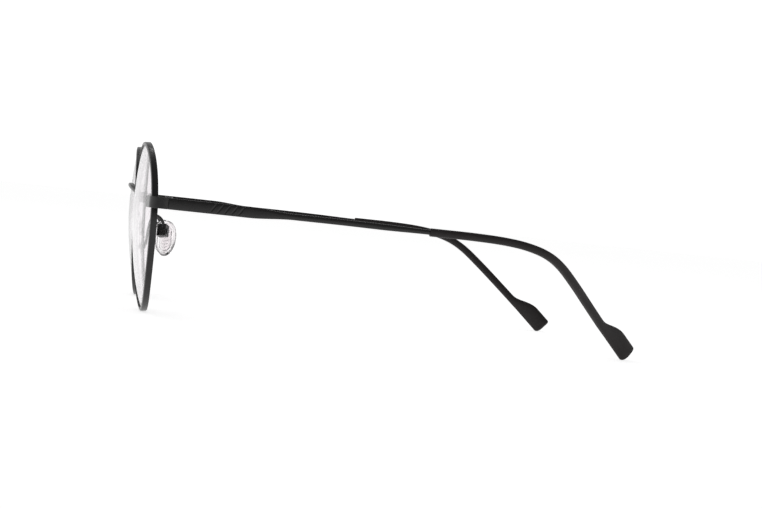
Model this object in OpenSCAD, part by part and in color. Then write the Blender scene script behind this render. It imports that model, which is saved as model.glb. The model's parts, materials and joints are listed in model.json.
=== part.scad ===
// Round wire eyeglasses with strip temples, plastic temple tips and clear nose pads.
// They stand open on Z = 0: the rims' lowest points and the temple tips touch it.
// +X is the wearer's left, +Y runs back along the temples, +Z is up.
// Lengths are in millimetres. Left parts are modelled, and right parts are their mirror image.

/* [Rims and lenses] */
// Outer width of a rim
rim_width = 46.4; // [45:0.1:48]
// Outer height of a rim
rim_height = 45.5; // [44:0.1:46.5]
// How much fuller the outline is above the middle, as a share of its width
rim_fullness = 0.16; // [0.1:0.01:0.2]
// Thickness of the rim wire, from its outer face to its inner face
rim_wall = 0.85; // [0.8:0.01:0.95]
// Depth of the rim wire, from front to back
rim_depth = 1.64; // [1.4:0.02:2]
// Distance between the centres of the two lenses
lens_spacing = 69.8; // [68.5:0.1:71]
// Thickness of a lens
lens_thickness = 1.15; // [0.95:0.05:1.2]
// Radius of the sphere that the lenses and the rims follow
base_radius = 100; // [90:1:120]
// Forward lean of the rims
lean_angle = 4.4; // [3:0.1:6]
// Backward wrap of each rim towards its temple
wrap_angle = 3.5; // [2:0.1:5]

/* [Bridge] */
// Height of the bridge bar
bridge_bar_height = 1.2; // [1:0.05:1.6]
// Depth of the bridge bar, from front to back
bridge_bar_depth = 1.6; // [1.2:0.05:2]
// Height of the middle of the bridge above the ground
bridge_height = 33.5; // [33:0.05:34]
// How far the front of the bridge stands in front of the hinge line
bridge_reach = 6.5; // [6:0.1:7]

/* [Temples] */
// Width over both temples at the hinges
front_width = 138; // [136:0.5:142]
// Height of the flat strip at the front of a temple
strip_height = 2.9; // [2.6:0.05:3.2]
// Thickness of the flat strip
strip_thickness = 0.9; // [0.8:0.05:1.1]
// Height of the temple wire behind the strip
wire_height = 1.6; // [1.4:0.05:1.8]
// Height of the middle of the strip above the ground
strip_level = 29.75; // [29.5:0.05:30]
// Diameter of the steel core inside a temple tip
core_diameter = 1.1; // [0.9:0.05:1.2]
// Width of the paddle at the end of a temple tip
paddle_width = 5.45; // [5:0.05:6]

/* [Hinges] */
// Radius of the hinge barrels
barrel_radius = 1.1; // [1:0.02:1.15]
// Height of the three stacked barrels
barrel_stack = 2.7; // [2.4:0.1:2.8]
// Radius of the hinge screw's shaft
hinge_screw_radius = 0.55; // [0.5:0.01:0.6]
// Gap between the screw's shaft and the temple's barrel
running_gap = 0.04; // [0.02:0.01:0.08]

/* [Nose pads] */
// Length of a nose pad
pad_length = 10.4; // [10:0.1:12]
// Width of a nose pad
pad_width = 6.4; // [6:0.1:7]
// Angle of a pad to the upright, seen from the front
pad_lean = 18; // [10:1:22]
// Angle of a pad to straight back, seen from above
pad_splay = 28; // [20:1:32]
// Radius of the wire of a pad arm
arm_radius = 0.43; // [0.4:0.01:0.5]

/* [Hidden] */

BLACK_METAL = [0.17, 0.165, 0.16];
DARK_STEEL = [0.3, 0.3, 0.31];
TIP_BLACK = [0.12, 0.12, 0.12];
CLEAR_LENS = [0.9, 0.93, 0.95, 0.35];
CLEAR_PAD = [0.92, 0.93, 0.93, 0.5];

// Reach of the glasses behind and in front of the hinge line, and the middle between them
tip_reach = 134.45;
middle_y = (tip_reach - bridge_reach) / 2;

// Facets of the swept shapes
rim_steps = 72;
lens_rings = 5;
section_sides = 12;
oval_sides = 36;
slack = 0.02;
$fn = 48;

// ---- Curves and skins ----

function lerp(a, b, t) = a + (b - a) * t;

// Smooth step from 0 at a to 1 at b
function ramp(a, b, x) =
    let (t = min(max((x - a) / (b - a), 0), 1)) t * t * (3 - 2 * t);

// Point of a smooth curve through the points p, at a fractional index t
function curve_at(p, t) =
    let (
        last = len(p) - 1,
        i = min(floor(t), last - 1),
        u = t - i,
        a = p[max(i - 1, 0)],
        b = p[i],
        c = p[i + 1],
        d = p[min(i + 2, last)]
    )
    b + 0.5 * u * (c - a + u * (2 * a - 5 * b + 4 * c - d + u * (3 * (b - c) + d - a)));

function unit(v) = v / norm(v);
function point_of(station) = [station[0], station[1], station[2]];

// Direction of the curve through the stations at index t
function heading(p, t) =
    let (e = 0.01, last = len(p) - 1)
    unit(point_of(curve_at(p, min(t + e, last)) - curve_at(p, max(t - e, 0))));

// Points of a rounded bar section: roundness 2 is an ellipse, and higher values are squarer
function bar_section(thickness, height, roundness, sides = section_sides) =
    [for (k = [0 : sides - 1])
        let (a = 360 * (k + 0.5) / sides, c = cos(a), s = sin(a))
        [
            thickness / 2 * sign(c) * pow(abs(c), 2 / roundness),
            height / 2 * sign(s) * pow(abs(s), 2 / roundness)
        ]
    ];

// A section placed square to the curve, with its height in the upright plane of the curve
function placed_section(p, t, section) =
    let (
        centre = point_of(curve_at(p, t)),
        along = heading(p, t),
        across = unit(cross(along, [0, 0, 1])),
        up = cross(across, along)
    )
    [for (q = section) centre + q[0] * across + q[1] * up];

// Closed skin over a list of rings that all have the same number of points
module skin(rings) {
    sides = len(rings[0]);
    last = len(rings) - 1;
    walls = [
        for (i = [0 : last - 1], k = [0 : sides - 1])
            let (a = i * sides + k, b = i * sides + (k + 1) % sides)
            for (face = [[a, b, b + sides], [a, b + sides, a + sides]]) face
    ];
    first_cap = [[for (k = [sides - 1 : -1 : 0]) k]];
    last_cap = [[for (k = [0 : sides - 1]) last * sides + k]];
    polyhedron(
        points = [for (ring = rings) each ring],
        faces = concat(first_cap, walls, last_cap)
    );
}

// ---- Sides ----

module left() translate([0, -middle_y, 0]) children();
module right() mirror([1, 0, 0]) left() children();

// ---- Rim and lens outline ----

rim_centre_y = -1.6;
rim_half = rim_depth / 2;
rim_edge = 0.15;
rim_centre_z =
    rim_height / 2 * cos(lean_angle) + (rim_half - 2 * rim_edge) * sin(lean_angle);

// Drop of the lens sphere between its middle and a distance r from it
function sphere_drop(r) = base_radius - sqrt(base_radius * base_radius - r * r);
edge_drop = sphere_drop(rim_height / 2);

// Outline of the rim's outer face at an angle, and its outward direction there
function outline(a) = [
    rim_width / 2 * cos(a) * (1 + rim_fullness * sin(a)),
    rim_height / 2 * sin(a)
];
function outline_normal(a) =
    let (
        slope_x = rim_width / 2 * (-sin(a) + rim_fullness * cos(2 * a)),
        slope_z = rim_height / 2 * cos(a)
    )
    unit([slope_z, -slope_x]);

// A point of the front in the glasses' frame: flat position and depth behind the lens sphere
function on_front(flat, depth) =
    let (
        x = flat[0],
        y = sphere_drop(norm(flat)) - edge_drop + depth,
        z = flat[1],
        lean_y = y * cos(lean_angle) - z * sin(lean_angle),
        lean_z = y * sin(lean_angle) + z * cos(lean_angle)
    )
    [
        lens_spacing / 2 + x * cos(wrap_angle) - lean_y * sin(wrap_angle),
        rim_centre_y + x * sin(wrap_angle) + lean_y * cos(wrap_angle),
        rim_centre_z + lean_z
    ];

function rim_point(a, out, depth) =
    on_front(outline(a) + out * outline_normal(a), depth);

// The rim is split at the endpiece, and the closing blocks hold the split together
split_angle = asin((strip_level - rim_centre_z) / (rim_height / 2));
split_half_angle = 0.2;

// Depth of the lens's front face behind the sphere that the rim follows
lens_front = -0.4;

// Rim section as [out, depth]: a channel with a V groove for the lens
groove_half = 0.3;
groove_depth = 0.3;
groove_middle = lens_front + lens_thickness / 2;
rim_section = [
    [-rim_edge, -rim_half],
    [-rim_wall + rim_edge, -rim_half],
    [-rim_wall, -rim_half + rim_edge],
    [-rim_wall, groove_middle - groove_half],
    [-rim_wall + groove_depth, groove_middle],
    [-rim_wall, groove_middle + groove_half],
    [-rim_wall, rim_half - rim_edge],
    [-rim_wall + rim_edge, rim_half],
    [-rim_edge, rim_half],
    [0, rim_half - 2 * rim_edge],
    [0, -rim_half + 2 * rim_edge]
];

module rim() {
    sweep = 360 - 2 * split_half_angle;
    skin([
        for (i = [0 : rim_steps])
            let (a = split_angle + split_half_angle + sweep * i / rim_steps)
            [for (q = rim_section) rim_point(a, q[0], q[1])]
    ]);
}

// The lens edge has a bevel that sits in the rim's groove
lens_gap = 0.05;
module lens() {
    edge_out = -rim_wall - lens_gap;
    lens_back = lens_front + lens_thickness;
    function ring(out, depth, size) = [
        for (i = [0 : rim_steps - 1])
            let (a = 360 * i / rim_steps)
            on_front(size * (outline(a) + out * outline_normal(a)), depth)
    ];
    skin(concat(
        [for (j = [1 : lens_rings]) ring(edge_out, lens_front, j / lens_rings)],
        [
            ring(edge_out, groove_middle - groove_half, 1),
            ring(edge_out + groove_depth, groove_middle, 1),
            ring(edge_out, groove_middle + groove_half, 1)
        ],
        [for (j = [lens_rings : -1 : 1]) ring(edge_out, lens_back, j / lens_rings)]
    ));
}

// ---- Bridge ----

// Middle line of the bridge from the left rim to its middle
bridge_half = [
    [12.4, -3.3, bridge_height - 1.85],
    [9.7, -4.1, bridge_height - 1.4],
    [5.5, -bridge_reach + 1.25, bridge_height - 0.5],
    [0, -bridge_reach + bridge_bar_depth / 2, bridge_height]
];
bridge_line = concat(
    bridge_half,
    [for (i = [2 : -1 : 0]) [-bridge_half[i][0], bridge_half[i][1], bridge_half[i][2]]]
);

module bridge() {
    steps = 36;
    bar = bar_section(bridge_bar_depth, bridge_bar_height, 3);
    skin([
        for (i = [0 : steps])
            placed_section(bridge_line, i * (len(bridge_line) - 1) / steps, bar)
    ]);
}

// ---- Endpiece and closing blocks ----

endpiece_thickness = 1.0;
corner_radius = 3.6;
corner_x = front_width / 2 - corner_radius;
corner_y = 1.4;
arm_slope = 4;
arm_reach = 7.7;
seam_y = 2.6;
seam_gap = 0.1;

// Plan of the strip that runs outwards from the rim's front and turns back to the hinge
module endpiece_plan() {
    inner = corner_radius - endpiece_thickness;
    translate([corner_x, corner_y]) {
        intersection() {
            difference() {
                circle(corner_radius);
                circle(inner);
            }
            polygon([
                [0, 0],
                [2 * corner_radius, 0],
                [2 * corner_radius, -2 * corner_radius],
                2 * corner_radius * [sin(arm_slope), -cos(arm_slope)]
            ]);
        }
        rotate(arm_slope)
            translate([-arm_reach, -corner_radius])
                square([arm_reach, endpiece_thickness]);
        translate([inner, 0])
            square([endpiece_thickness, seam_y - seam_gap / 2 - corner_y]);
    }
}

module endpiece() {
    translate([0, 0, strip_level - strip_height / 2])
        linear_extrude(strip_height) endpiece_plan();
}

// Closing blocks: brazed on either side of the rim's split, and joined by the rim screw
block_x = 57.7;
block_size = [2.9, 2.25, 1.27];
block_y = -1.7;
block_screw = [59.6, -0.55];
block_split = 0.16;
block_step = 0.12;
block_set_back = 0.25;
rim_screw_radius = 0.45;
rim_screw_head = [0.8, 0.45];

module closing_block_upper() {
    difference() {
        translate([block_x, block_y - block_step, strip_level + block_split / 2])
            cube(block_size + [0, block_step, 0]);
        translate([block_screw[0], block_screw[1], strip_level])
            cylinder(h = block_size[2], r = rim_screw_radius + slack);
    }
}

module closing_block_lower() {
    bottom = strip_level - block_split / 2 - block_size[2];
    difference() {
        translate([block_x, block_y + block_set_back, bottom])
            cube(block_size - [0, block_set_back, 0]);
        translate([block_screw[0], block_screw[1], bottom - 1])
            cylinder(h = block_size[2] + 2, r = rim_screw_radius + slack);
        translate([block_screw[0], block_screw[1], bottom - 1])
            cylinder(h = rim_screw_head[1] + 1 + slack, r = rim_screw_head[0] + slack);
    }
}

// A slotted screw along Z: its head's inner face is at Z = 0 and its shaft runs down
module slotted_screw(shaft_radius, shaft_length, head_radius, head_height) {
    slot = [2 * head_radius + 1, 0.25, head_height];
    translate([0, 0, -shaft_length])
        cylinder(h = shaft_length + head_height / 2, r = shaft_radius);
    difference() {
        cylinder(h = head_height, r = head_radius);
        translate([-slot[0] / 2, -slot[1] / 2, head_height / 2])
            cube(slot);
    }
}

module rim_screw() {
    bottom = strip_level - block_split / 2 - block_size[2];
    translate([block_screw[0], block_screw[1], bottom + rim_screw_head[1]])
        rotate([180, 0, 0])
            slotted_screw(rim_screw_radius, 1.9, rim_screw_head[0], rim_screw_head[1]);
}

// ---- Hinge ----

hinge_x = 66.35;
hinge_y = seam_y;
barrel_gap = 0.03;
barrel_height = barrel_stack / 3;
stack_bottom = strip_level - barrel_stack / 2;
inner_face = front_width / 2 - endpiece_thickness;
barrel_clearance = 0.12;

// A barrel with a lug that reaches towards the strip, on the side given by facing
module barrel(level, height, facing, bore) {
    reach = 1.7;
    translate([hinge_x, hinge_y, stack_bottom + level])
        difference() {
            union() {
                cylinder(h = height, r = barrel_radius);
                translate([0, facing < 0 ? -reach : 0, 0])
                    cube([inner_face - hinge_x + slack, reach, height]);
            }
            translate([0, 0, -1])
                cylinder(h = height + 2, r = bore);
        }
}

module hinge_front_leaf() {
    web = [1.5, 0.7, barrel_stack];
    web_y = hinge_y - barrel_radius - barrel_clearance - web[1];
    difference() {
        union() {
            for (level = [0, 2 * barrel_height + barrel_gap])
                barrel(level, barrel_height - barrel_gap, -1, hinge_screw_radius + 0.01);
            translate([inner_face + slack - web[0], web_y, stack_bottom])
                cube(web);
        }
        // Room for the temple, which turns about the same axis
        translate([hinge_x - 1, hinge_y, stack_bottom - 1])
            translate([1 + barrel_radius, 0, 0])
                cube([3, 3, barrel_stack + 2]);
    }
}

module hinge_temple_leaf() {
    plate = [0.75, 4.6, 2.2];
    plate_y = hinge_y + barrel_radius + barrel_clearance + 0.15;
    barrel(barrel_height + barrel_gap / 2, barrel_height - barrel_gap, 1,
        hinge_screw_radius + running_gap);
    translate([inner_face + 0.08 - plate[0], plate_y, strip_level - plate[2] / 2])
        cube(plate);
}

module hinge_screw() {
    head = [0.95, 0.4];
    translate([hinge_x, hinge_y, stack_bottom + barrel_stack + slack])
        slotted_screw(hinge_screw_radius, barrel_stack, head[0], head[1]);
}

// ---- Temple and tip ----

// Middle line of the temple: [x, y, z]
temple_start = seam_y + seam_gap / 2;
temple_line = [
    [68.55, temple_start, strip_level],
    [68.45, 13, strip_level],
    [68.3, 24, strip_level - 0.02],
    [68.05, 35, strip_level - 0.06],
    [67.6, 47, strip_level - 0.08],
    [67.05, 59, strip_level - 0.2],
    [66.55, 69.9, strip_level - 0.27],
    [66.1, 81.8, strip_level - 0.3],
    [65.8, 90.5, strip_level - 0.63],
    [65.2, 97, strip_level - 1.47],
    [63.9, 102.6, strip_level - 3.11],
    [61.9, 107.2, strip_level - 5.8],
    [58.6, 112.4, strip_level - 10.35],
    [54.9, 117.6, strip_level - 15.35],
    [50.4, 124.7, strip_level - 22.3],
    [46.95, 132.05, strip_level - 29.57]
];
tip_index = 6;
core_end_index = 13.6;
last_index = len(temple_line) - 1;
strip_end = 23;
wire_start = 34.5;
wire_thickness = 1.2;
rear_wire_height = 1.3;

// Height and thickness of the bare temple at a distance y behind the hinge line
function temple_height(y) =
    lerp(lerp(strip_height, wire_height, ramp(strip_end, wire_start, y)),
        rear_wire_height, ramp(57, 70, y));
function temple_thickness(y) =
    lerp(strip_thickness, wire_thickness, ramp(strip_end, wire_start, y));
function temple_roundness(y) = lerp(7, 2.6, ramp(strip_end, wire_start, y));

module temple() {
    core = bar_section(core_diameter, core_diameter, 2);
    skin(concat(
        [
            for (t = [0 : 0.25 : tip_index])
                let (y = curve_at(temple_line, t)[1])
                placed_section(temple_line, t,
                    bar_section(temple_thickness(y), temple_height(y), temple_roundness(y)))
        ],
        [
            for (t = [tip_index + 0.001 : 0.25 : core_end_index])
                placed_section(temple_line, t, core)
        ]
    ));
}

// The tip is round as far as its paddle, which widens upwards from a straight lower edge
tip_width = 2.15;
drop_width = 2.34;
tip_roundness = 2.4;
paddle_thickness = 2.1;
paddle_ramp = [13.66, 14.42];
lower_corner = 2.1;
upper_corner = 1.1;
end_rounding = 0.8;
last_segment = norm(temple_line[last_index] - temple_line[last_index - 1]);

// Depth that a rounded corner takes away at a distance d from the end
function corner_cut(radius, d) =
    d < radius ? radius - sqrt(radius * radius - (radius - d) * (radius - d)) : 0;

// Section of the tip at an index of the temple line
function tip_section(t) =
    let (
        d = (last_index - t) * last_segment,
        round_width = lerp(tip_width, drop_width, ramp(8, 12.5, t)),
        spread = ramp(paddle_ramp[0], paddle_ramp[1], t),
        low = -round_width / 2 + corner_cut(lower_corner, d),
        high = lerp(round_width / 2, paddle_width - drop_width / 2, spread)
            - corner_cut(upper_corner, d),
        thickness = lerp(round_width, paddle_thickness, spread)
            - 2 * corner_cut(end_rounding, d)
    )
    [
        for (q = bar_section(thickness, high - low, tip_roundness))
            q + [0, (high + low) / 2]
    ];

module temple_tip() {
    bore_size = core_diameter + 2 * 0.03;
    bore = bar_section(bore_size, bore_size, 2);
    mouth = tip_index + 0.02;
    end_distances = [2.1, 1.4, 0.8, 0.4, 0.12, 0];
    skin(concat(
        [
            for (t = [core_end_index + 0.1 : -0.25 : mouth])
                placed_section(temple_line, t, bore)
        ],
        [placed_section(temple_line, mouth, bore)],
        [
            for (t = [mouth : 0.25 : paddle_ramp[0]])
                placed_section(temple_line, t, tip_section(t))
        ],
        [
            for (t = [paddle_ramp[0] + 0.05 : 0.1 : paddle_ramp[1] + 0.2])
                placed_section(temple_line, t, tip_section(t))
        ],
        [
            for (d = end_distances)
                let (t = last_index - d / last_segment)
                placed_section(temple_line, t, tip_section(t))
        ]
    ));
}

// ---- Nose pads ----

// Middle line of the pad arm, from the back of the rim to the top of the pad box
arm_line = [
    [14.15, -1.55, 16],
    [14.3, -0.9, 18],
    [14.5, -0.6, 21],
    [14.6, -0.1, 23.5],
    [14.3, 0.9, 25.1],
    [13.7, 2.1, 25.5],
    [13.2, 3.3, 24.8],
    [12.9, 4.1, 23.5],
    [13, 4.2, 22.2]
];

module pad_arm() {
    wire = bar_section(2 * arm_radius, 2 * arm_radius, 2, 10);
    steps = 28;
    // The arm loops in an upright plane, so its sections turn about the X axis
    function arm_section(t) =
        let (
            along = heading(arm_line, t),
            up = unit(cross([1, 0, 0], along)),
            across = cross(along, up)
        )
        [for (q = wire) point_of(curve_at(arm_line, t)) + q[0] * across + q[1] * up];
    skin([for (i = [0 : steps]) arm_section(i * (len(arm_line) - 1) / steps)]);
}

// The pad frame: origin on the pad screw's axis, Y along it, Z up the pad, -X to the nose
pad_origin = [11.9, 4.3, 21.4];
module in_pad_frame()
    translate(pad_origin) rotate([0, -pad_lean, 0]) rotate([0, 0, -pad_splay]) children();

pad_screw_radius = 0.4;
box_low = [-1.0, -1.35, -1.6];
box_high = [1.3, 1.35, 1.75];
box_wall = 0.35;
lug_half = 0.58;
lug_radius = 0.8;
slot_half = 0.66;

module pad_box() {
    in_pad_frame() difference() {
        translate(box_low) cube(box_high - box_low);
        translate([box_low[0] - 1, -slot_half, box_low[2] + box_wall])
            cube([
                box_high[0] - box_low[0] + 1 - box_wall,
                2 * slot_half,
                box_high[2] - box_low[2] - 2 * box_wall
            ]);
        rotate([90, 0, 0])
            cylinder(h = 6, r = pad_screw_radius + 0.01, center = true);
    }
}

module pad_screw() {
    head = [0.7, 0.3];
    length = box_high[1] - box_low[1];
    in_pad_frame()
        translate([0, box_high[1] + slack, 0])
            rotate([-90, 0, 0])
                slotted_screw(pad_screw_radius, length, head[0], head[1]);
}

// Core: a plate that carries the pad, and a lug that hangs on the pad screw
plate_back = -1.65;
plate_thickness = 0.6;
pad_drop = 1.55;
module pad_core() {
    half_length = 2.0;
    half_width = 1.7;
    in_pad_frame() difference() {
        union() {
            rotate([90, 0, 0])
                cylinder(h = 2 * lug_half, r = lug_radius, center = true);
            translate([plate_back - 0.1, -lug_half, -lug_radius])
                cube([-plate_back + 0.1, 2 * lug_half, 2 * lug_radius]);
            translate([plate_back - plate_thickness, 0, -pad_drop])
                rotate([0, 90, 0])
                    linear_extrude(plate_thickness) {
                        square([2 * half_length, 2 * half_width], center = true);
                        for (end = [-1, 1])
                            translate([end * half_length, 0]) circle(half_width);
                    }
        }
        rotate([90, 0, 0])
            cylinder(h = 6, r = pad_screw_radius + running_gap, center = true);
    }
}

// Pad: a crowned oval with a recess in its back for the core's plate
module nose_pad() {
    recess = [4.4, 2.45];
    recess_floor = plate_back - plate_thickness - 0.04;
    half = [pad_length / 2, pad_width / 2];
    function oval(x, half_z, half_y) = [
        for (k = [0 : oval_sides - 1])
            let (a = 360 * k / oval_sides)
            [x, half_y * cos(a) * (1 + 0.06 * sin(a)), half_z * sin(a) - pad_drop]
    ];
    function inset(x, by) = oval(x, half[0] - by, half[1] - by);
    in_pad_frame() skin([
        oval(recess_floor, recess[0], recess[1]),
        oval(plate_back + 0.05, recess[0], recess[1]),
        inset(plate_back + 0.05, 0.45),
        inset(plate_back - 0.1, 0.15),
        inset(plate_back - 0.5, 0),
        inset(plate_back - 0.95, 0.06),
        inset(plate_back - 1.35, 0.35),
        inset(plate_back - 1.75, 0.95),
        inset(plate_back - 2.05, 1.8),
        inset(plate_back - 2.2, 2.7)
    ]);
}

// ---- Assembly ----

color(BLACK_METAL) left() rim();  // left_rim
color(BLACK_METAL) right() rim();  // right_rim
color(CLEAR_LENS) left() lens();  // left_lens
color(CLEAR_LENS) right() lens();  // right_lens
color(BLACK_METAL) left() bridge();
color(BLACK_METAL) left() closing_block_upper();  // left_closing_block_upper
color(BLACK_METAL) right() closing_block_upper();  // right_closing_block_upper
color(BLACK_METAL) left() closing_block_lower();  // left_closing_block_lower
color(BLACK_METAL) right() closing_block_lower();  // right_closing_block_lower
color(DARK_STEEL) left() rim_screw();  // left_rim_screw
color(DARK_STEEL) right() rim_screw();  // right_rim_screw
color(BLACK_METAL) left() endpiece();  // left_endpiece
color(BLACK_METAL) right() endpiece();  // right_endpiece
color(BLACK_METAL) left() hinge_front_leaf();  // left_hinge_front_leaf
color(BLACK_METAL) right() hinge_front_leaf();  // right_hinge_front_leaf
color(BLACK_METAL) left() hinge_temple_leaf();  // left_hinge_temple_leaf
color(BLACK_METAL) right() hinge_temple_leaf();  // right_hinge_temple_leaf
color(DARK_STEEL) left() hinge_screw();  // left_hinge_screw
color(DARK_STEEL) right() hinge_screw();  // right_hinge_screw
color(BLACK_METAL) left() temple();  // left_temple
color(BLACK_METAL) right() temple();  // right_temple
color(TIP_BLACK) left() temple_tip();  // left_temple_tip
color(TIP_BLACK) right() temple_tip();  // right_temple_tip
color(BLACK_METAL) left() pad_arm();  // left_pad_arm
color(BLACK_METAL) right() pad_arm();  // right_pad_arm
color(BLACK_METAL) left() pad_box();  // left_pad_box
color(BLACK_METAL) right() pad_box();  // right_pad_box
color(DARK_STEEL) left() pad_screw();  // left_pad_screw
color(DARK_STEEL) right() pad_screw();  // right_pad_screw
color(CLEAR_PAD) left() pad_core();  // left_pad_core
color(CLEAR_PAD) right() pad_core();  // right_pad_core
color(CLEAR_PAD) left() nose_pad();  // left_nose_pad
color(CLEAR_PAD) right() nose_pad();  // right_nose_pad
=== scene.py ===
import json
import math

import bmesh
import bpy
from mathutils import Matrix, Vector

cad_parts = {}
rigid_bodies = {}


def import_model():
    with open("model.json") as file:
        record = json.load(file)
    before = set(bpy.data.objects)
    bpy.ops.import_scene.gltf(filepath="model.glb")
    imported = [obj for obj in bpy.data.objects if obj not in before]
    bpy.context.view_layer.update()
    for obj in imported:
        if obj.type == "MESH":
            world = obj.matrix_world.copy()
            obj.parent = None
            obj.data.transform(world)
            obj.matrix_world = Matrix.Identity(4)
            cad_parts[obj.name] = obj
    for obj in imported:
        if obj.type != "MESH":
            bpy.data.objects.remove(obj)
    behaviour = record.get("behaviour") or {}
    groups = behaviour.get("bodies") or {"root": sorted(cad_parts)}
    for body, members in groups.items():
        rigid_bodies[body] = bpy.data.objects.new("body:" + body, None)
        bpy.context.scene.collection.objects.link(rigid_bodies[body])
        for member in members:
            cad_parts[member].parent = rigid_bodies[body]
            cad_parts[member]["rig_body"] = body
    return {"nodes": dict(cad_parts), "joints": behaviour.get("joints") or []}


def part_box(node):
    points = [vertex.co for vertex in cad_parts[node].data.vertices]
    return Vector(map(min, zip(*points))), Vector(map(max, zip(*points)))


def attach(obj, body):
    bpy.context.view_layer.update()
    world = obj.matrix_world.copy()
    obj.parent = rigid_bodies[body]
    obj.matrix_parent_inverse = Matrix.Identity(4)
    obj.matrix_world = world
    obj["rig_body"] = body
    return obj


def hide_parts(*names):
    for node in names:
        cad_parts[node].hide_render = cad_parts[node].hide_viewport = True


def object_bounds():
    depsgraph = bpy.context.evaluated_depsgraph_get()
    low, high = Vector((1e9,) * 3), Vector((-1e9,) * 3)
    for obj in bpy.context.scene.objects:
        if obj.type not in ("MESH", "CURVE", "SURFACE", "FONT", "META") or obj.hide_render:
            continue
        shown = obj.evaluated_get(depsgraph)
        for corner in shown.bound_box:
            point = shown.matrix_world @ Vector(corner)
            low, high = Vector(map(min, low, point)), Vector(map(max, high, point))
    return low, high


# Round wire eyeglasses, standing open on their rims and temple tips.
# Shapes are worked out in millimetres for the wearer's left side and mirrored for the right.
# +X is the wearer's left, +Y runs back along the temples, +Z is up.

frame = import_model()
cad_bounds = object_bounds()

MM = 0.001
SIDES = {"left": 1, "right": -1}


def joint_place(name):
    """Where a joint of the frame sits, in millimetres."""
    place = next(j["pos_m"] for j in frame["joints"] if j["name"] == name)
    return Vector(place) / MM


# The plane that all distances back are measured from is this far ahead of the hinge line
SEAM_Y = 2.6
hinge_place = joint_place("left_temple_hinge")
origin_y = hinge_place.y - SEAM_Y
strip_level = hinge_place.z


# ---- Curves and sections ----

def lerp(a, b, t):
    return a + (b - a) * t


def ramp(a, b, x):
    """Smooth step from 0 at a to 1 at b."""
    t = min(max((x - a) / (b - a), 0), 1)
    return t * t * (3 - 2 * t)


def curve_at(points, t):
    """Point of a Catmull-Rom curve through the points, at a fractional index."""
    last = len(points) - 1
    i = min(int(t), last - 1)
    u = t - i
    a, b, c, d = points[max(i - 1, 0)], points[i], points[i + 1], points[min(i + 2, last)]
    return b + 0.5 * u * (c - a + u * (2 * a - 5 * b + 4 * c - d + u * (3 * (b - c) + d - a)))


def heading(points, t):
    """Direction of the curve at a fractional index."""
    step = 0.01
    last = len(points) - 1
    before = curve_at(points, max(t - step, 0))
    after = curve_at(points, min(t + step, last))
    return (after - before).normalized()


def steps(start, end, count):
    """Evenly spaced values from start to end, both included."""
    return [lerp(start, end, i / count) for i in range(count + 1)]


def rounded(corners, radii, arc_steps):
    """Closed outline through the corners, with each corner turned on its own radius."""
    outline = []
    for i, corner in enumerate(corners):
        before = corners[i - 1]
        after = corners[(i + 1) % len(corners)]
        start = corner + (before - corner).normalized() * radii[i]
        end = corner + (after - corner).normalized() * radii[i]
        for t in steps(0, 1, arc_steps):
            outline.append(start.lerp(corner, t).lerp(corner.lerp(end, t), t))
    return outline


def oval_section(thickness, height, roundness, count):
    """Points of a rounded bar: roundness 2 is an ellipse, and higher values are squarer."""
    section = []
    for k in range(count):
        a = math.tau * (k + 0.5) / count
        c, s = math.cos(a), math.sin(a)
        x = thickness / 2 * math.copysign(abs(c) ** (2 / roundness), c)
        z = height / 2 * math.copysign(abs(s) ** (2 / roundness), s)
        section.append((x, z))
    return section


def placed_section(points, t, section):
    """A section square to the curve, with its height in the upright plane of the curve."""
    along = heading(points, t)
    across = along.cross(Vector((0, 0, 1))).normalized()
    up = across.cross(along)
    centre = curve_at(points, t)
    return [centre + x * across + z * up for x, z in section]


# ---- Meshes and pieces ----

def skin(name, rings, side, first_pole=None, last_pole=None):
    """Mesh over a list of rings. An end closes with a fan to its pole, or with a flat cap."""
    count = len(rings[0])
    points = [p for ring in rings for p in ring]
    faces = []
    for i in range(len(rings) - 1):
        for k in range(count):
            a = i * count + k
            b = i * count + (k + 1) % count
            faces.append((a, b, b + count, a + count))
    ends = ((0, first_pole), ((len(rings) - 1) * count, last_pole))
    for start, pole in ends:
        ring = range(start, start + count)
        if pole is None:
            faces.append(tuple(ring))
            continue
        points.append(pole)
        tip = len(points) - 1
        faces.extend((start + k, start + (k + 1) % count, tip) for k in range(count))
    corners = [(side * p.x * MM, (p.y + origin_y) * MM, p.z * MM) for p in points]
    mesh = bpy.data.meshes.new(name)
    mesh.from_pydata(corners, [], faces)
    return mesh


def tidy_normals(mesh):
    work = bmesh.new()
    work.from_mesh(mesh)
    bmesh.ops.recalc_face_normals(work, faces=work.faces)
    work.to_mesh(mesh)
    work.free()


SHARP_ANGLE = math.radians(32)


def add_piece(mesh, body, slot_name):
    """Puts a mesh in the scene as a piece that rides on a body."""
    tidy_normals(mesh)
    mesh.shade_smooth()
    mesh.set_sharp_from_angle(angle=SHARP_ANGLE)
    piece = bpy.data.objects.new(mesh.name, mesh)
    bpy.context.scene.collection.objects.link(piece)
    piece.data.materials.append(MATERIALS[slot_name])
    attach(piece, body)
    return piece


BOX_ROOM = 0.45 * MM


def stand_for(piece, node):
    """The piece replaces a CAD node, and has to keep to that node's box."""
    low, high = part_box(node)
    for corner in piece.data.vertices:
        for axis in range(3):
            if not low[axis] - BOX_ROOM <= corner.co[axis] <= high[axis] + BOX_ROOM:
                raise ValueError(f"{piece.name} leaves the box of {node}: {tuple(corner.co)}")
    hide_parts(node)


MERGE_DISTANCE = 0.002 * MM
FLAT_ANGLE = math.radians(1)
BEVEL_ANGLE = math.radians(28)


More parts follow.
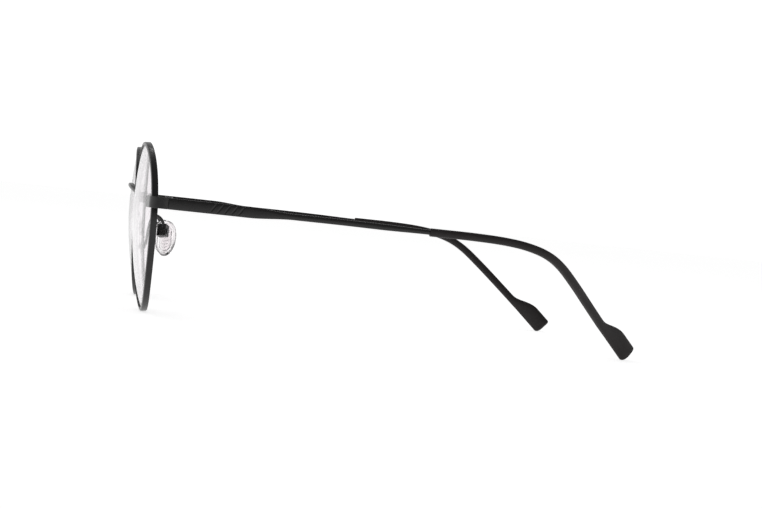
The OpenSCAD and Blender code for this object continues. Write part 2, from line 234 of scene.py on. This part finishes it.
def soften(node, slot_name, width):
    """Replaces a CAD node with a copy whose edges are rounded over a width."""
    source = frame["nodes"][node]
    mesh = source.data.copy()
    mesh.name = node + "_finished"
    mesh.materials.clear()
    work = bmesh.new()
    work.from_mesh(mesh)
    bmesh.ops.remove_doubles(work, verts=work.verts, dist=MERGE_DISTANCE)
    bmesh.ops.dissolve_limit(work, angle_limit=FLAT_ANGLE, verts=work.verts, edges=work.edges)
    work.to_mesh(mesh)
    work.free()
    piece = add_piece(mesh, source["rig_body"], slot_name)
    bevel = piece.modifiers.new("soft_edges", "BEVEL")
    bevel.width = width * MM
    bevel.segments = 3
    bevel.limit_method = "ANGLE"
    bevel.angle_limit = BEVEL_ANGLE
    shading = piece.modifiers.new("even_shading", "WEIGHTED_NORMAL")
    shading.keep_sharp = False
    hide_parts(node)


# ---- Materials ----

class Nodes:
    """Adds nodes to a material's tree and links them."""

    def __init__(self, name):
        self.material = bpy.data.materials.new(name)
        self.material.use_nodes = True
        self.tree = self.material.node_tree
        self.shader = self.tree.nodes["Principled BSDF"]
        self.place = self.add("ShaderNodeTexCoord").outputs["Object"]

    def add(self, kind, **values):
        node = self.tree.nodes.new(kind)
        for name, value in values.items():
            setattr(node, name, value)
        return node

    def link(self, output, target):
        self.tree.links.new(output, target)

    def noise(self, scale, detail=4):
        """Noise with features about 1 / scale metres across."""
        node = self.add("ShaderNodeTexNoise")
        self.link(self.place, node.inputs["Vector"])
        node.inputs["Scale"].default_value = scale
        node.inputs["Detail"].default_value = detail
        node.inputs["Roughness"].default_value = 0.55
        return node.outputs["Fac"]

    def spread(self, value, low, high, start=0.3, end=0.7):
        """Maps a value that runs from start to end onto low to high."""
        node = self.add("ShaderNodeMapRange")
        self.link(value, node.inputs["Value"])
        node.inputs["From Min"].default_value = start
        node.inputs["From Max"].default_value = end
        node.inputs["To Min"].default_value = low
        node.inputs["To Max"].default_value = high
        return node.outputs["Result"]

    def blend(self, value, first, second):
        """Colour between first and second."""
        node = self.add("ShaderNodeMix", data_type="RGBA")
        self.link(value, node.inputs["Factor"])
        for socket, colour in ((6, first), (7, second)):
            if isinstance(colour, bpy.types.NodeSocket):
                self.link(colour, node.inputs[socket])
            else:
                node.inputs[socket].default_value = (*colour, 1)
        return node.outputs[2]

    def edges(self, start, end):
        """1 on worn convex edges, and 0 elsewhere."""
        geometry = self.add("ShaderNodeNewGeometry")
        return self.spread(geometry.outputs["Pointiness"], 0, 1, start, end)

    def bump(self, heights):
        """Adds bumps, each as (height field, depth in metres)."""
        normal = None
        for value, depth in heights:
            node = self.add("ShaderNodeBump")
            node.inputs["Distance"].default_value = depth
            self.link(value, node.inputs["Height"])
            if normal is not None:
                self.link(normal, node.inputs["Normal"])
            normal = node.outputs["Normal"]
        self.link(normal, self.shader.inputs["Normal"])

    def absorb(self, tint, density):
        """Takes light away inside the material, in proportion to the way through it."""
        node = self.add("ShaderNodeVolumeAbsorption")
        node.inputs["Color"].default_value = (*tint, 1)
        node.inputs["Density"].default_value = density
        self.link(node.outputs["Volume"], self.tree.nodes["Material Output"].inputs["Volume"])

    def set(self, **values):
        for name, value in values.items():
            socket = self.shader.inputs[name.replace("_", " ")]
            if isinstance(value, bpy.types.NodeSocket):
                self.link(value, socket)
            else:
                socket.default_value = value


def black_metal():
    """Satin black lacquer on wire, with faint mottling and slightly rubbed edges."""
    m = Nodes("black_metal")
    mottle = m.spread(m.noise(700), 0, 1)
    lacquer = m.blend(mottle, (0.004, 0.0035, 0.0037), (0.007, 0.0063, 0.0063))
    rubbed = m.edges(0.53, 0.6)
    m.set(Base_Color=m.blend(rubbed, lacquer, (0.02, 0.019, 0.0185)))
    m.set(Roughness=m.spread(m.noise(1500, 6), 0.22, 0.32), IOR=1.45)
    m.bump([(m.noise(2600, 3), 0.000006), (m.noise(9000, 2), 0.000002)])
    return m.material


def screw_steel():
    """Dark turned steel."""
    m = Nodes("screw_steel")
    turned = m.add("ShaderNodeTexWave", wave_type="RINGS", rings_direction="Z")
    m.link(m.place, turned.inputs["Vector"])
    turned.inputs["Scale"].default_value = 3500
    turned.inputs["Distortion"].default_value = 2
    steel = m.blend(m.spread(m.noise(3000), 0, 1), (0.13, 0.13, 0.135), (0.2, 0.2, 0.205))
    m.set(Base_Color=steel, Metallic=1.0, Roughness=m.spread(m.noise(4000), 0.28, 0.42))
    m.bump([(turned.outputs["Fac"], 0.000004)])
    return m.material


def tip_plastic():
    """Matte black cellulose plastic with a fine satin grain."""
    m = Nodes("tip_plastic")
    cloud = m.spread(m.noise(260, 5), 0, 1)
    m.set(Base_Color=m.blend(cloud, (0.016, 0.0137, 0.0138), (0.022, 0.019, 0.019)))
    m.set(Roughness=m.spread(m.noise(2400, 5), 0.42, 0.54), IOR=1.3)
    m.bump([(m.noise(5200, 4), 0.000008), (m.noise(420, 2), 0.00002)])
    return m.material


def clear_lens():
    """Polished clear lens with a trace of haze."""
    m = Nodes("clear_lens")
    haze = m.spread(m.noise(120, 3), 0, 1)
    m.set(Base_Color=m.blend(haze, (0.94, 0.915, 0.925), (0.92, 0.895, 0.905)))
    m.set(Roughness=m.spread(m.noise(160, 4), 0.0, 0.012), IOR=1.35, Transmission_Weight=1.0)
    m.bump([(m.noise(60, 1), 0.000004)])
    m.absorb((0.55, 0.5, 0.6), 36)
    return m.material


def clear_silicone():
    """Clear soft silicone with a slightly wavy moulded surface."""
    m = Nodes("clear_silicone")
    cloud = m.spread(m.noise(400, 4), 0, 1)
    m.set(Base_Color=m.blend(cloud, (1, 0.985, 0.99), (0.98, 0.965, 0.97)))
    m.set(Roughness=m.spread(m.noise(1800, 3), 0.03, 0.12), IOR=1.34, Transmission_Weight=1.0)
    m.bump([(m.noise(900, 2), 0.00002), (m.noise(4000, 2), 0.000003)])
    m.absorb((0.6, 0.5, 0.54), 15)
    return m.material


def clear_core():
    """Clear hard plastic core."""
    m = Nodes("clear_core")
    cloud = m.spread(m.noise(900, 3), 0, 1)
    m.set(Base_Color=m.blend(cloud, (1, 0.985, 0.99), (0.97, 0.955, 0.96)))
    m.set(Roughness=m.spread(m.noise(2200, 3), 0.02, 0.09), IOR=1.45, Transmission_Weight=1.0)
    m.bump([(m.noise(2500, 2), 0.000012)])
    m.absorb((0.6, 0.5, 0.54), 15)
    return m.material


MATERIALS = {
    make.__name__: make()
    for make in (black_metal, screw_steel, tip_plastic, clear_lens, clear_silicone, clear_core)
}


# ---- Rims and lenses ----

RIM_WIDTH = 46.4
RIM_HEIGHT = 45.5
RIM_FULLNESS = 0.16
RIM_WALL = 0.85
RIM_DEPTH = 1.64
RIM_EDGE = 0.15
OUTER_CORNER = 0.24
INNER_CORNER = 0.12
GROOVE_CORNER = 0.04
HALF_SPLIT = math.radians(0.2)
RIM_CENTRE_Y = -1.6
LENS_SPACING = 69.8
BASE_RADIUS = 100
# LEAN tips the top of each rim forwards, and WRAP turns its outer side back round the face
LEAN = math.radians(4.4)
WRAP = math.radians(3.5)
LENS_THICKNESS = 1.15
LENS_FRONT = -0.4
LENS_GAP = 0.05
GROOVE_MIDDLE = LENS_FRONT + LENS_THICKNESS / 2
GROOVE_HALF = 0.3
GROOVE_DEPTH = 0.3

rim_half = RIM_DEPTH / 2
# Height of the rim's middle when its lowest edge stands on the floor
rim_centre_z = RIM_HEIGHT / 2 * math.cos(LEAN) + (rim_half - 2 * RIM_EDGE) * math.sin(LEAN)


def sphere_drop(r):
    """How far the lenses' base sphere falls back at a distance from its middle."""
    return BASE_RADIUS - math.sqrt(BASE_RADIUS**2 - r * r)


def on_front(x, z, depth):
    """A point of a rim or lens: flat position and depth behind the sphere that both follow."""
    y = sphere_drop(math.hypot(x, z)) - sphere_drop(RIM_HEIGHT / 2) + depth
    lean_y = y * math.cos(LEAN) - z * math.sin(LEAN)
    lean_z = y * math.sin(LEAN) + z * math.cos(LEAN)
    return Vector((
        LENS_SPACING / 2 + x * math.cos(WRAP) - lean_y * math.sin(WRAP),
        RIM_CENTRE_Y + x * math.sin(WRAP) + lean_y * math.cos(WRAP),
        rim_centre_z + lean_z,
    ))


def outline_point(a, out):
    """Flat position on the rim's outline at an angle, moved outwards by a distance."""
    c, s = math.cos(a), math.sin(a)
    slope_x = RIM_WIDTH / 2 * (-s + RIM_FULLNESS * math.cos(2 * a))
    slope_z = RIM_HEIGHT / 2 * c
    length = math.hypot(slope_x, slope_z)
    x = RIM_WIDTH / 2 * c * (1 + RIM_FULLNESS * s) + out * slope_z / length
    z = RIM_HEIGHT / 2 * s - out * slope_x / length
    return x, z


def build_rim(side_name, side):
    """Channel wire with a groove for the lens, split at the endpiece."""
    split_angle = math.asin((strip_level - rim_centre_z) / (RIM_HEIGHT / 2))
    corners = [
        (0, -rim_half), (0, rim_half), (-RIM_WALL, rim_half),
        (-RIM_WALL, GROOVE_MIDDLE + GROOVE_HALF), (-RIM_WALL + GROOVE_DEPTH, GROOVE_MIDDLE),
        (-RIM_WALL, GROOVE_MIDDLE - GROOVE_HALF), (-RIM_WALL, -rim_half),
    ]
    radii = [OUTER_CORNER] * 2 + [INNER_CORNER] + [GROOVE_CORNER] * 3 + [INNER_CORNER]
    section = rounded([Vector(c) for c in corners], radii, 5)
    rings = []
    for a in steps(split_angle + HALF_SPLIT, split_angle + math.tau - HALF_SPLIT, 360):
        rings.append([on_front(*outline_point(a, q.x), q.y) for q in section])
    piece = add_piece(skin(f"{side_name}_rim_wire", rings, side), "front", "black_metal")
    stand_for(piece, f"{side_name}_rim")


def build_lens(side_name, side):
    """Curved clear lens whose bevelled edge sits in the rim's groove."""
    edge_out = -RIM_WALL - LENS_GAP
    lens_back = LENS_FRONT + LENS_THICKNESS
    turns = 240
    bands = 26

    def ring(out, depth, size):
        places = [outline_point(math.tau * i / turns, out) for i in range(turns)]
        return [on_front(size * x, size * z, depth) for x, z in places]

    sizes = [j / bands for j in range(1, bands + 1)]
    rings = [ring(edge_out, LENS_FRONT, size) for size in sizes]
    rings += [
        ring(edge_out, GROOVE_MIDDLE - GROOVE_HALF, 1),
        ring(edge_out + GROOVE_DEPTH, GROOVE_MIDDLE, 1),
        ring(edge_out, GROOVE_MIDDLE + GROOVE_HALF, 1),
    ]
    rings += [ring(edge_out, lens_back, size) for size in reversed(sizes)]
    mesh = skin(
        f"{side_name}_lens_glass", rings, side,
        on_front(0, 0, LENS_FRONT), on_front(0, 0, lens_back),
    )
    piece = add_piece(mesh, "front", "clear_lens")
    stand_for(piece, f"{side_name}_lens")


# ---- Bridge ----

BRIDGE_HEIGHT = 33.5
BRIDGE_REACH = 6.5
BRIDGE_BAR = (1.6, 1.2)
BRIDGE_ROUNDNESS = 3
BRIDGE_FILLET = 0.28

bridge_half = [
    (12.4, -3.3, BRIDGE_HEIGHT - 1.85),
    (9.7, -4.1, BRIDGE_HEIGHT - 1.4),
    (5.5, -BRIDGE_REACH + 1.25, BRIDGE_HEIGHT - 0.5),
]
bridge_line = [Vector(p) for p in bridge_half]
bridge_line.append(Vector((0, -BRIDGE_REACH + BRIDGE_BAR[0] / 2, BRIDGE_HEIGHT)))
bridge_line += [Vector((-x, y, z)) for x, y, z in reversed(bridge_half)]


def build_bridge():
    """Arched bar, a little thicker where it is brazed to the rims."""
    last = len(bridge_line) - 1
    rings = []
    for t in steps(0, last, 144):
        swell = 1 + BRIDGE_FILLET * (1 - ramp(0.25, 0.75, min(t, last - t)))
        thickness, height = (swell * size for size in BRIDGE_BAR)
        bar = oval_section(thickness, height, BRIDGE_ROUNDNESS, 40)
        rings.append(placed_section(bridge_line, t, bar))
    piece = add_piece(skin("bridge_bar", rings, 1), "front", "black_metal")
    stand_for(piece, "bridge")


# ---- Temples and tips ----

temple_line = [
    Vector((x, y, strip_level - drop)) for x, y, drop in (
        (68.55, SEAM_Y + 0.05, 0), (68.45, 13, 0), (68.3, 24, 0.02), (68.05, 35, 0.06),
        (67.6, 47, 0.08), (67.05, 59, 0.2), (66.55, 69.9, 0.27), (66.1, 81.8, 0.3),
        (65.8, 90.5, 0.63), (65.2, 97, 1.47), (63.9, 102.6, 3.11), (61.9, 107.2, 5.8),
        (58.6, 112.4, 10.35), (54.9, 117.6, 15.35), (50.4, 124.7, 22.3), (46.95, 132.05, 29.57),
    )
]
TIP_INDEX = 6
CORE_END_INDEX = 13.5
LAST_INDEX = len(temple_line) - 1
STRIP_SIZE = (0.9, 2.9)
STRIP_ROUNDNESS = 5.5
STRIP_CROWN = 0.09
STRIP_BOW = 0.12
WIRE_SIZE = (1.2, 1.6)
WIRE_ROUNDNESS = 2.6
REAR_WIRE_HEIGHT = 1.3
CORE_DIAMETER = 1.1
STRIP_TO_WIRE = (23, 34.5)
WIRE_TO_REAR = (57, 70)

ENGRAVED_LINES = 5
ENGRAVED_PITCH = 1.78
ENGRAVED_START = 13.9
ENGRAVED_SLANT = math.radians(57)
ENGRAVED_DEPTH = 0.14
ENGRAVED_HALF_WIDTH = 0.16


def engraving(y, z):
    """Depth of the slanted lines cut into the strip's outer face."""
    depth = 0
    for i in range(ENGRAVED_LINES):
        middle = ENGRAVED_START + i * ENGRAVED_PITCH
        off = (y - middle) * math.sin(ENGRAVED_SLANT) - z * math.cos(ENGRAVED_SLANT)
        depth = max(depth, ENGRAVED_DEPTH * math.exp(-((off / ENGRAVED_HALF_WIDTH) ** 2)))
    return depth


def square_walk(across_steps, outer_steps, inner_steps):
    """Points around a square of half width 1, from the outer side by way of the top."""
    walk = [(1, v) for v in steps(-1, 1, outer_steps)[:-1]]
    walk += [(u, 1) for u in steps(1, -1, across_steps)[:-1]]
    walk += [(-1, v) for v in steps(1, -1, inner_steps)[:-1]]
    walk += [(u, -1) for u in steps(-1, 1, across_steps)[:-1]]
    return walk


def build_temple(side_name, side):
    """Flat engraved strip that narrows to a wire and runs on as the core inside the tip."""
    walk = square_walk(12, 46, 20)

    def section(y):
        """Section at a distance back. The strip is bowed on its sides and crowned on its edges,
        and the wire behind it is not.
        """
        shape = ramp(*STRIP_TO_WIRE, y)
        crown = STRIP_CROWN * (1 - shape)
        bow = STRIP_BOW * (1 - shape)
        height = lerp(STRIP_SIZE[1], WIRE_SIZE[1], shape)
        height = lerp(height, REAR_WIRE_HEIGHT, ramp(*WIRE_TO_REAR, y))
        thickness = lerp(STRIP_SIZE[0], WIRE_SIZE[0], shape)
        roundness = lerp(STRIP_ROUNDNESS, WIRE_ROUNDNESS, shape)
        points = []
        for u, v in walk:
            size = (abs(u) ** roundness + abs(v) ** roundness) ** (1 / roundness)
            x, z = thickness / 2 * u / size, height / 2 * v / size
            z *= 1 - crown * (x / thickness * 2) ** 2
            x *= 1 - bow * v * v
            if u == 1:
                x -= engraving(y, z)
            points.append((x, z))
        return points

    # The rings lie closest together on the engraved part
    places = steps(0, 2, 200) + steps(2, 3, 60)[1:] + steps(3, TIP_INDEX, 60)[1:]
    rings = []
    for t in places:
        rings.append(placed_section(temple_line, t, section(curve_at(temple_line, t).y)))
    core = []
    for u, v in walk:
        size = math.hypot(u, v)
        core.append((CORE_DIAMETER / 2 * u / size, CORE_DIAMETER / 2 * v / size))
    for t in steps(TIP_INDEX + 0.001, CORE_END_INDEX, 64):
        rings.append(placed_section(temple_line, t, core))
    body = f"{side_name}_temple_body"
    piece = add_piece(skin(f"{side_name}_temple_bar", rings, side), body, "black_metal")
    stand_for(piece, f"{side_name}_temple")


TIP_WIDTH = 2.15
DROP_WIDTH = 2.34
PADDLE_WIDTH = 5.45
PADDLE_THICKNESS = 2.1
DROP_RAMP = (8, 12.5)
PADDLE_RAMP = (13.66, 14.42)
LOWER_CORNER = 2.1
UPPER_CORNER = 1.1
END_ROUNDING = 0.8
TIP_ROUNDNESS = 2.4
TIP_SIDES = 48
MOUTH_ROUNDING = 0.22
BORE_DIAMETER = CORE_DIAMETER + 0.06
last_segment = (temple_line[LAST_INDEX] - temple_line[LAST_INDEX - 1]).length


def corner_cut(radius, d):
    """Depth that a rounded corner takes away at a distance d from the end."""
    return radius - math.sqrt(radius * radius - (radius - d) ** 2) if d < radius else 0


def tip_section(t, inset=0):
    """Section of the tip at an index of the temple line, with a paddle that widens upwards."""
    d = (LAST_INDEX - t) * last_segment
    round_width = lerp(TIP_WIDTH, DROP_WIDTH, ramp(*DROP_RAMP, t))
    spread = ramp(*PADDLE_RAMP, t)
    low = corner_cut(LOWER_CORNER, d) - round_width / 2
    high = lerp(round_width / 2, PADDLE_WIDTH - DROP_WIDTH / 2, spread)
    high -= corner_cut(UPPER_CORNER, d)
    thickness = lerp(round_width, PADDLE_THICKNESS, spread) - 2 * corner_cut(END_ROUNDING, d)
    oval = oval_section(thickness - 2 * inset, high - low - 2 * inset, TIP_ROUNDNESS, TIP_SIDES)
    return [(x, z + (high + low) / 2) for x, z in oval]


def build_temple_tip(side_name, side):
    """Plastic sleeve over the wire, which widens to a paddle behind the ear."""
    mouth = TIP_INDEX + 0.02
    lip = 0.03
    bore = oval_section(BORE_DIAMETER, BORE_DIAMETER, 2, TIP_SIDES)
    bore_places = steps(CORE_END_INDEX + 0.1, mouth, 40)
    rings = [placed_section(temple_line, t, bore) for t in bore_places]
    for t in steps(mouth, mouth + lip, 5):
        inset = MOUTH_ROUNDING * (1 - math.sqrt(1 - (1 - (t - mouth) / lip) ** 2))
        rings.append(placed_section(temple_line, t, tip_section(t, inset)))
    end_start = LAST_INDEX - LOWER_CORNER / last_segment
    places = steps(mouth + lip, PADDLE_RAMP[0], 120)[1:]
    places += steps(PADDLE_RAMP[0], end_start, 70)[1:]
    places += [LAST_INDEX - (LAST_INDEX - end_start) * v * v for v in steps(1, 0, 24)[1:]]
    rings += [placed_section(temple_line, t, tip_section(t)) for t in places]
    body = f"{side_name}_temple_body"
    piece = add_piece(skin(f"{side_name}_temple_sleeve", rings, side), body, "tip_plastic")
    stand_for(piece, f"{side_name}_temple_tip")


# ---- Nose pads ----

ARM_RADIUS = 0.43
ARM_FOOT_SPREAD = 0.25
arm_line = [
    Vector(p) for p in (
        (14.15, -1.55, 16), (14.3, -0.9, 18), (14.5, -0.6, 21), (14.6, -0.1, 23.5),
        (14.3, 0.9, 25.1), (13.7, 2.1, 25.5), (13.2, 3.3, 24.8), (12.9, 4.1, 23.5),
        (13, 4.2, 22.2),
    )
]
PAD_LENGTH = 10.4
PAD_WIDTH = 6.4
PAD_LEAN = math.radians(18)
PAD_SPLAY = math.radians(28)
PAD_DROP = 1.55
PAD_CROWN = 2.25
PAD_EDGE = 0.5
PLATE_BACK = -1.65
PLATE_THICKNESS = 0.6
PLATE_RECESS = (4.4, 2.45)
RECESS_CHAMFER = 0.08

pad_place = joint_place("left_pad_tilt")
pad_frame = (
    Matrix.Translation((pad_place.x, pad_place.y - origin_y, pad_place.z))
    @ Matrix.Rotation(-PAD_LEAN, 4, "Y")
    @ Matrix.Rotation(-PAD_SPLAY, 4, "Z")
)


def build_pad_arm(side_name, side):
    """Wire that loops back from the rim to the pad box, with a flattened brazed foot."""
    last = len(arm_line) - 1
    sides = 28
    rings = []
    for t in steps(0, last, 130):
        along = heading(arm_line, t)
        up = Vector((1, 0, 0)).cross(along).normalized()
        across = along.cross(up)
        wide = ARM_RADIUS * (1 + ARM_FOOT_SPREAD * (1 - ramp(0.2, 1.1, t)))
        centre = curve_at(arm_line, t)
        ring = []
        for k in range(sides):
            a = math.tau * k / sides
            ring.append(centre + wide * math.cos(a) * across + ARM_RADIUS * math.sin(a) * up)
        rings.append(ring)
    piece = add_piece(skin(f"{side_name}_pad_wire", rings, side), "front", "black_metal")
    stand_for(piece, f"{side_name}_pad_arm")


def pad_oval(x, half_z, half_y):
    """Ring of the pad at a depth x, which falls towards the nose. It is fuller at its top."""
    count = 120
    ring = []
    for k in range(count):
        a = math.tau * k / count
        y = half_y * math.cos(a) * (1 + 0.06 * math.sin(a))
        ring.append(pad_frame @ Vector((x, y, half_z * math.sin(a) - PAD_DROP)))
    return ring


def build_nose_pad(side_name, side):
    """Soft clear pad: crowned towards the nose, with a recess in its back for the core."""
    half_z, half_y = PAD_LENGTH / 2, PAD_WIDTH / 2
    mouth = [size + RECESS_CHAMFER for size in PLATE_RECESS]
    recess_floor = PLATE_BACK - PLATE_THICKNESS - 0.04
    back = PLATE_BACK + 0.05
    front = back + 0.05 - PAD_CROWN
    rings = [
        pad_oval(recess_floor, *PLATE_RECESS),
        pad_oval(back - RECESS_CHAMFER, *PLATE_RECESS),
        pad_oval(back, *mouth),
    ]
    for t in steps(0, 1, 10):
        turn = t * math.pi / 2
        inset = PAD_EDGE * (1 - math.sin(turn))
        x = back - PAD_EDGE * (1 - math.cos(turn))
        rings.append(pad_oval(x, half_z - inset, half_y - inset))
    for t in steps(0, 1, 30)[1:-1]:
        turn = t * math.pi / 2
        x = lerp(back - PAD_EDGE, front, math.sin(turn) ** 1.15)
        size = math.cos(turn) ** 0.8
        rings.append(pad_oval(x, half_z * size, half_y * size))
    floor_middle = pad_frame @ Vector((recess_floor, 0, -PAD_DROP))
    crown_middle = pad_frame @ Vector((front, 0, -PAD_DROP))
    mesh = skin(f"{side_name}_pad_silicone", rings, side, floor_middle, crown_middle)
    piece = add_piece(mesh, f"{side_name}_pad_body", "clear_silicone")
    stand_for(piece, f"{side_name}_nose_pad")


RIB_DROPS = (2.35, 3.25, 4.15)
RIB_HALF_LENGTH = 1.35
RIB_SHORTENING = 0.12
RIB_RADIUS = 0.16
RIB_RISE = 0.3


def build_core_ribs(side_name, side):
    """Three shallow ribs that bow across the lower half of the core's plate."""
    out = (pad_frame.to_3x3() @ Vector((1, 0, 0))).normalized()
    sides = 14
    for number, drop in enumerate(RIB_DROPS, start=1):
        half = RIB_HALF_LENGTH - RIB_SHORTENING * number
        line = []
        for v in steps(-1, 1, 12):
            z = RIB_RISE * v * v - drop
            line.append(pad_frame @ Vector((PLATE_BACK + 0.02, half * v, z)))
        last = len(line) - 1
        rings = []
        for t in steps(0, last, 24):
            across = heading(line, t).cross(out)
            # The rib is half as thick at its ends as in its middle
            size = RIB_RADIUS * math.sin(math.pi * lerp(0.06, 0.94, t / last)) ** 0.4
            centre = curve_at(line, t)
            ring = []
            for k in range(sides):
                a = math.tau * k / sides
                ring.append(centre + size * (math.cos(a) * out + math.sin(a) * across))
            rings.append(ring)
        mesh = skin(f"{side_name}_core_rib_{number}", rings, side)
        add_piece(mesh, f"{side_name}_pad_body", "clear_core")


# ---- All pieces ----

build_bridge()
for side_name, side in SIDES.items():
    build_rim(side_name, side)
    build_lens(side_name, side)
    build_temple(side_name, side)
    build_temple_tip(side_name, side)
    build_pad_arm(side_name, side)
    build_nose_pad(side_name, side)
    build_core_ribs(side_name, side)
    for part in ("endpiece", "closing_block_upper", "closing_block_lower"):
        soften(f"{side_name}_{part}", "black_metal", 0.12)
    for part in ("hinge_front_leaf", "hinge_temple_leaf"):
        soften(f"{side_name}_{part}", "black_metal", 0.06)
    soften(f"{side_name}_pad_box", "black_metal", 0.3)
    soften(f"{side_name}_pad_core", "clear_core", 0.08)
    for screw in ("rim_screw", "hinge_screw", "pad_screw"):
        soften(f"{side_name}_{screw}", "screw_steel", 0.05)


# ---- Floor, light and camera ----

FLOOR_SIZE = 12
FLOOR_GAP = 0.05 * MM


def floor_white():
    """Matte white that glows enough to match the surroundings."""
    m = Nodes("floor_white")
    paint = m.spread(m.noise(3), 0, 1)
    m.set(Base_Color=m.blend(paint, (0.93, 0.93, 0.93), (0.95, 0.95, 0.95)))
    m.set(Roughness=1.0, Specular_IOR_Level=0.0)
    m.set(Emission_Color=(1, 1, 1, 1), Emission_Strength=0.66)
    return m.material


def build_floor():
    """Plain floor just below the lowest point of the glasses."""
    level = cad_bounds[0][2] - FLOOR_GAP
    signs = ((-1, -1), (1, -1), (1, 1), (-1, 1))
    corners = [(x * FLOOR_SIZE / 2, y * FLOOR_SIZE / 2, level) for x, y in signs]
    mesh = bpy.data.meshes.new("floor")
    mesh.from_pydata(corners, [], [(0, 1, 2, 3)])
    mesh.materials.append(floor_white())
    floor = bpy.data.objects.new("floor", mesh)
    bpy.context.scene.collection.objects.link(floor)


def build_world():
    """White surroundings that dim overhead and towards +X, as seen in reflections."""
    world = bpy.data.worlds.new("studio")
    bpy.context.scene.world = world
    world.use_nodes = True
    tree = world.node_tree
    background = tree.nodes["Background"]
    place = tree.nodes.new("ShaderNodeTexCoord")
    split = tree.nodes.new("ShaderNodeSeparateXYZ")
    overhead = tree.nodes.new("ShaderNodeMath")
    dim = tree.nodes.new("ShaderNodeMath")
    fade = tree.nodes.new("ShaderNodeMapRange")
    path = tree.nodes.new("ShaderNodeLightPath")
    bright = tree.nodes.new("ShaderNodeMix")
    overhead.operation = "MULTIPLY"
    overhead.inputs[1].default_value = 1.2
    dim.operation = "MAXIMUM"
    fade_range = {"From Min": 0.1, "From Max": 0.65, "To Min": 1.0, "To Max": 0.3}
    for name, value in fade_range.items():
        fade.inputs[name].default_value = value
    bright.inputs["B"].default_value = 1.1
    background.inputs["Color"].default_value = (1, 1, 1, 1)
    for output, target in (
        (place.outputs["Generated"], split.inputs["Vector"]),
        (split.outputs["Z"], overhead.inputs[0]),
        (overhead.outputs["Value"], dim.inputs[0]),
        (split.outputs["X"], dim.inputs[1]),
        (dim.outputs["Value"], fade.inputs["Value"]),
        (path.outputs["Is Camera Ray"], bright.inputs["Factor"]),
        (fade.outputs["Result"], bright.inputs["A"]),
        (bright.outputs["Result"], background.inputs["Strength"]),
    ):
        tree.links.new(output, target)


def add_softbox(name, place, aim, size, power):
    """A soft rectangular lamp at a place, turned towards a point, in metres."""
    lamp = bpy.data.lights.new(name, "AREA")
    lamp.shape = "RECTANGLE"
    lamp.size, lamp.size_y = size
    lamp.energy = power
    holder = bpy.data.objects.new(name, lamp)
    bpy.context.scene.collection.objects.link(holder)
    holder.location = place
    holder.rotation_euler = (Vector(aim) - Vector(place)).to_track_quat("-Z", "Y").to_euler()
    holder.visible_camera = False


CAMERA_YAW = math.radians(80.5427)
CAMERA_ELEVATION = math.radians(1.3621)
CAMERA_ROLL = math.radians(6.1289)
CAMERA_LENS = 83.1


def add_camera():
    """Low camera beside the near temple, turned a little towards the front and rolled."""
    place = Vector((512.861, origin_y - 16.302, 33.376)) * MM
    level = Vector((math.cos(CAMERA_YAW), math.sin(CAMERA_YAW), 0))
    outward = Vector((math.sin(CAMERA_YAW), -math.cos(CAMERA_YAW), 0))
    back = math.cos(CAMERA_ELEVATION) * outward
    back.z = math.sin(CAMERA_ELEVATION)
    upright = back.cross(level)
    right = math.cos(CAMERA_ROLL) * level + math.sin(CAMERA_ROLL) * upright
    up = -math.sin(CAMERA_ROLL) * level + math.cos(CAMERA_ROLL) * upright
    camera = bpy.data.cameras.new("camera")
    camera.sensor_width = 36
    camera.lens = CAMERA_LENS
    camera.clip_start = 0.01
    holder = bpy.data.objects.new("camera", camera)
    bpy.context.scene.collection.objects.link(holder)
    turn = Matrix((right, up, back)).transposed().to_4x4()
    holder.matrix_world = Matrix.Translation(place) @ turn
    bpy.context.scene.camera = holder


build_floor()
build_world()
add_softbox("key", (-0.5, -0.5, 0.9), (0, 0, 0.02), (0.7, 0.7), 1)
add_softbox("back", (-0.6, 0.05, 0.7), (0, 0, 0.02), (0.3, 0.06), 0.22)
add_camera()
bpy.context.scene.view_settings.view_transform = "Standard"
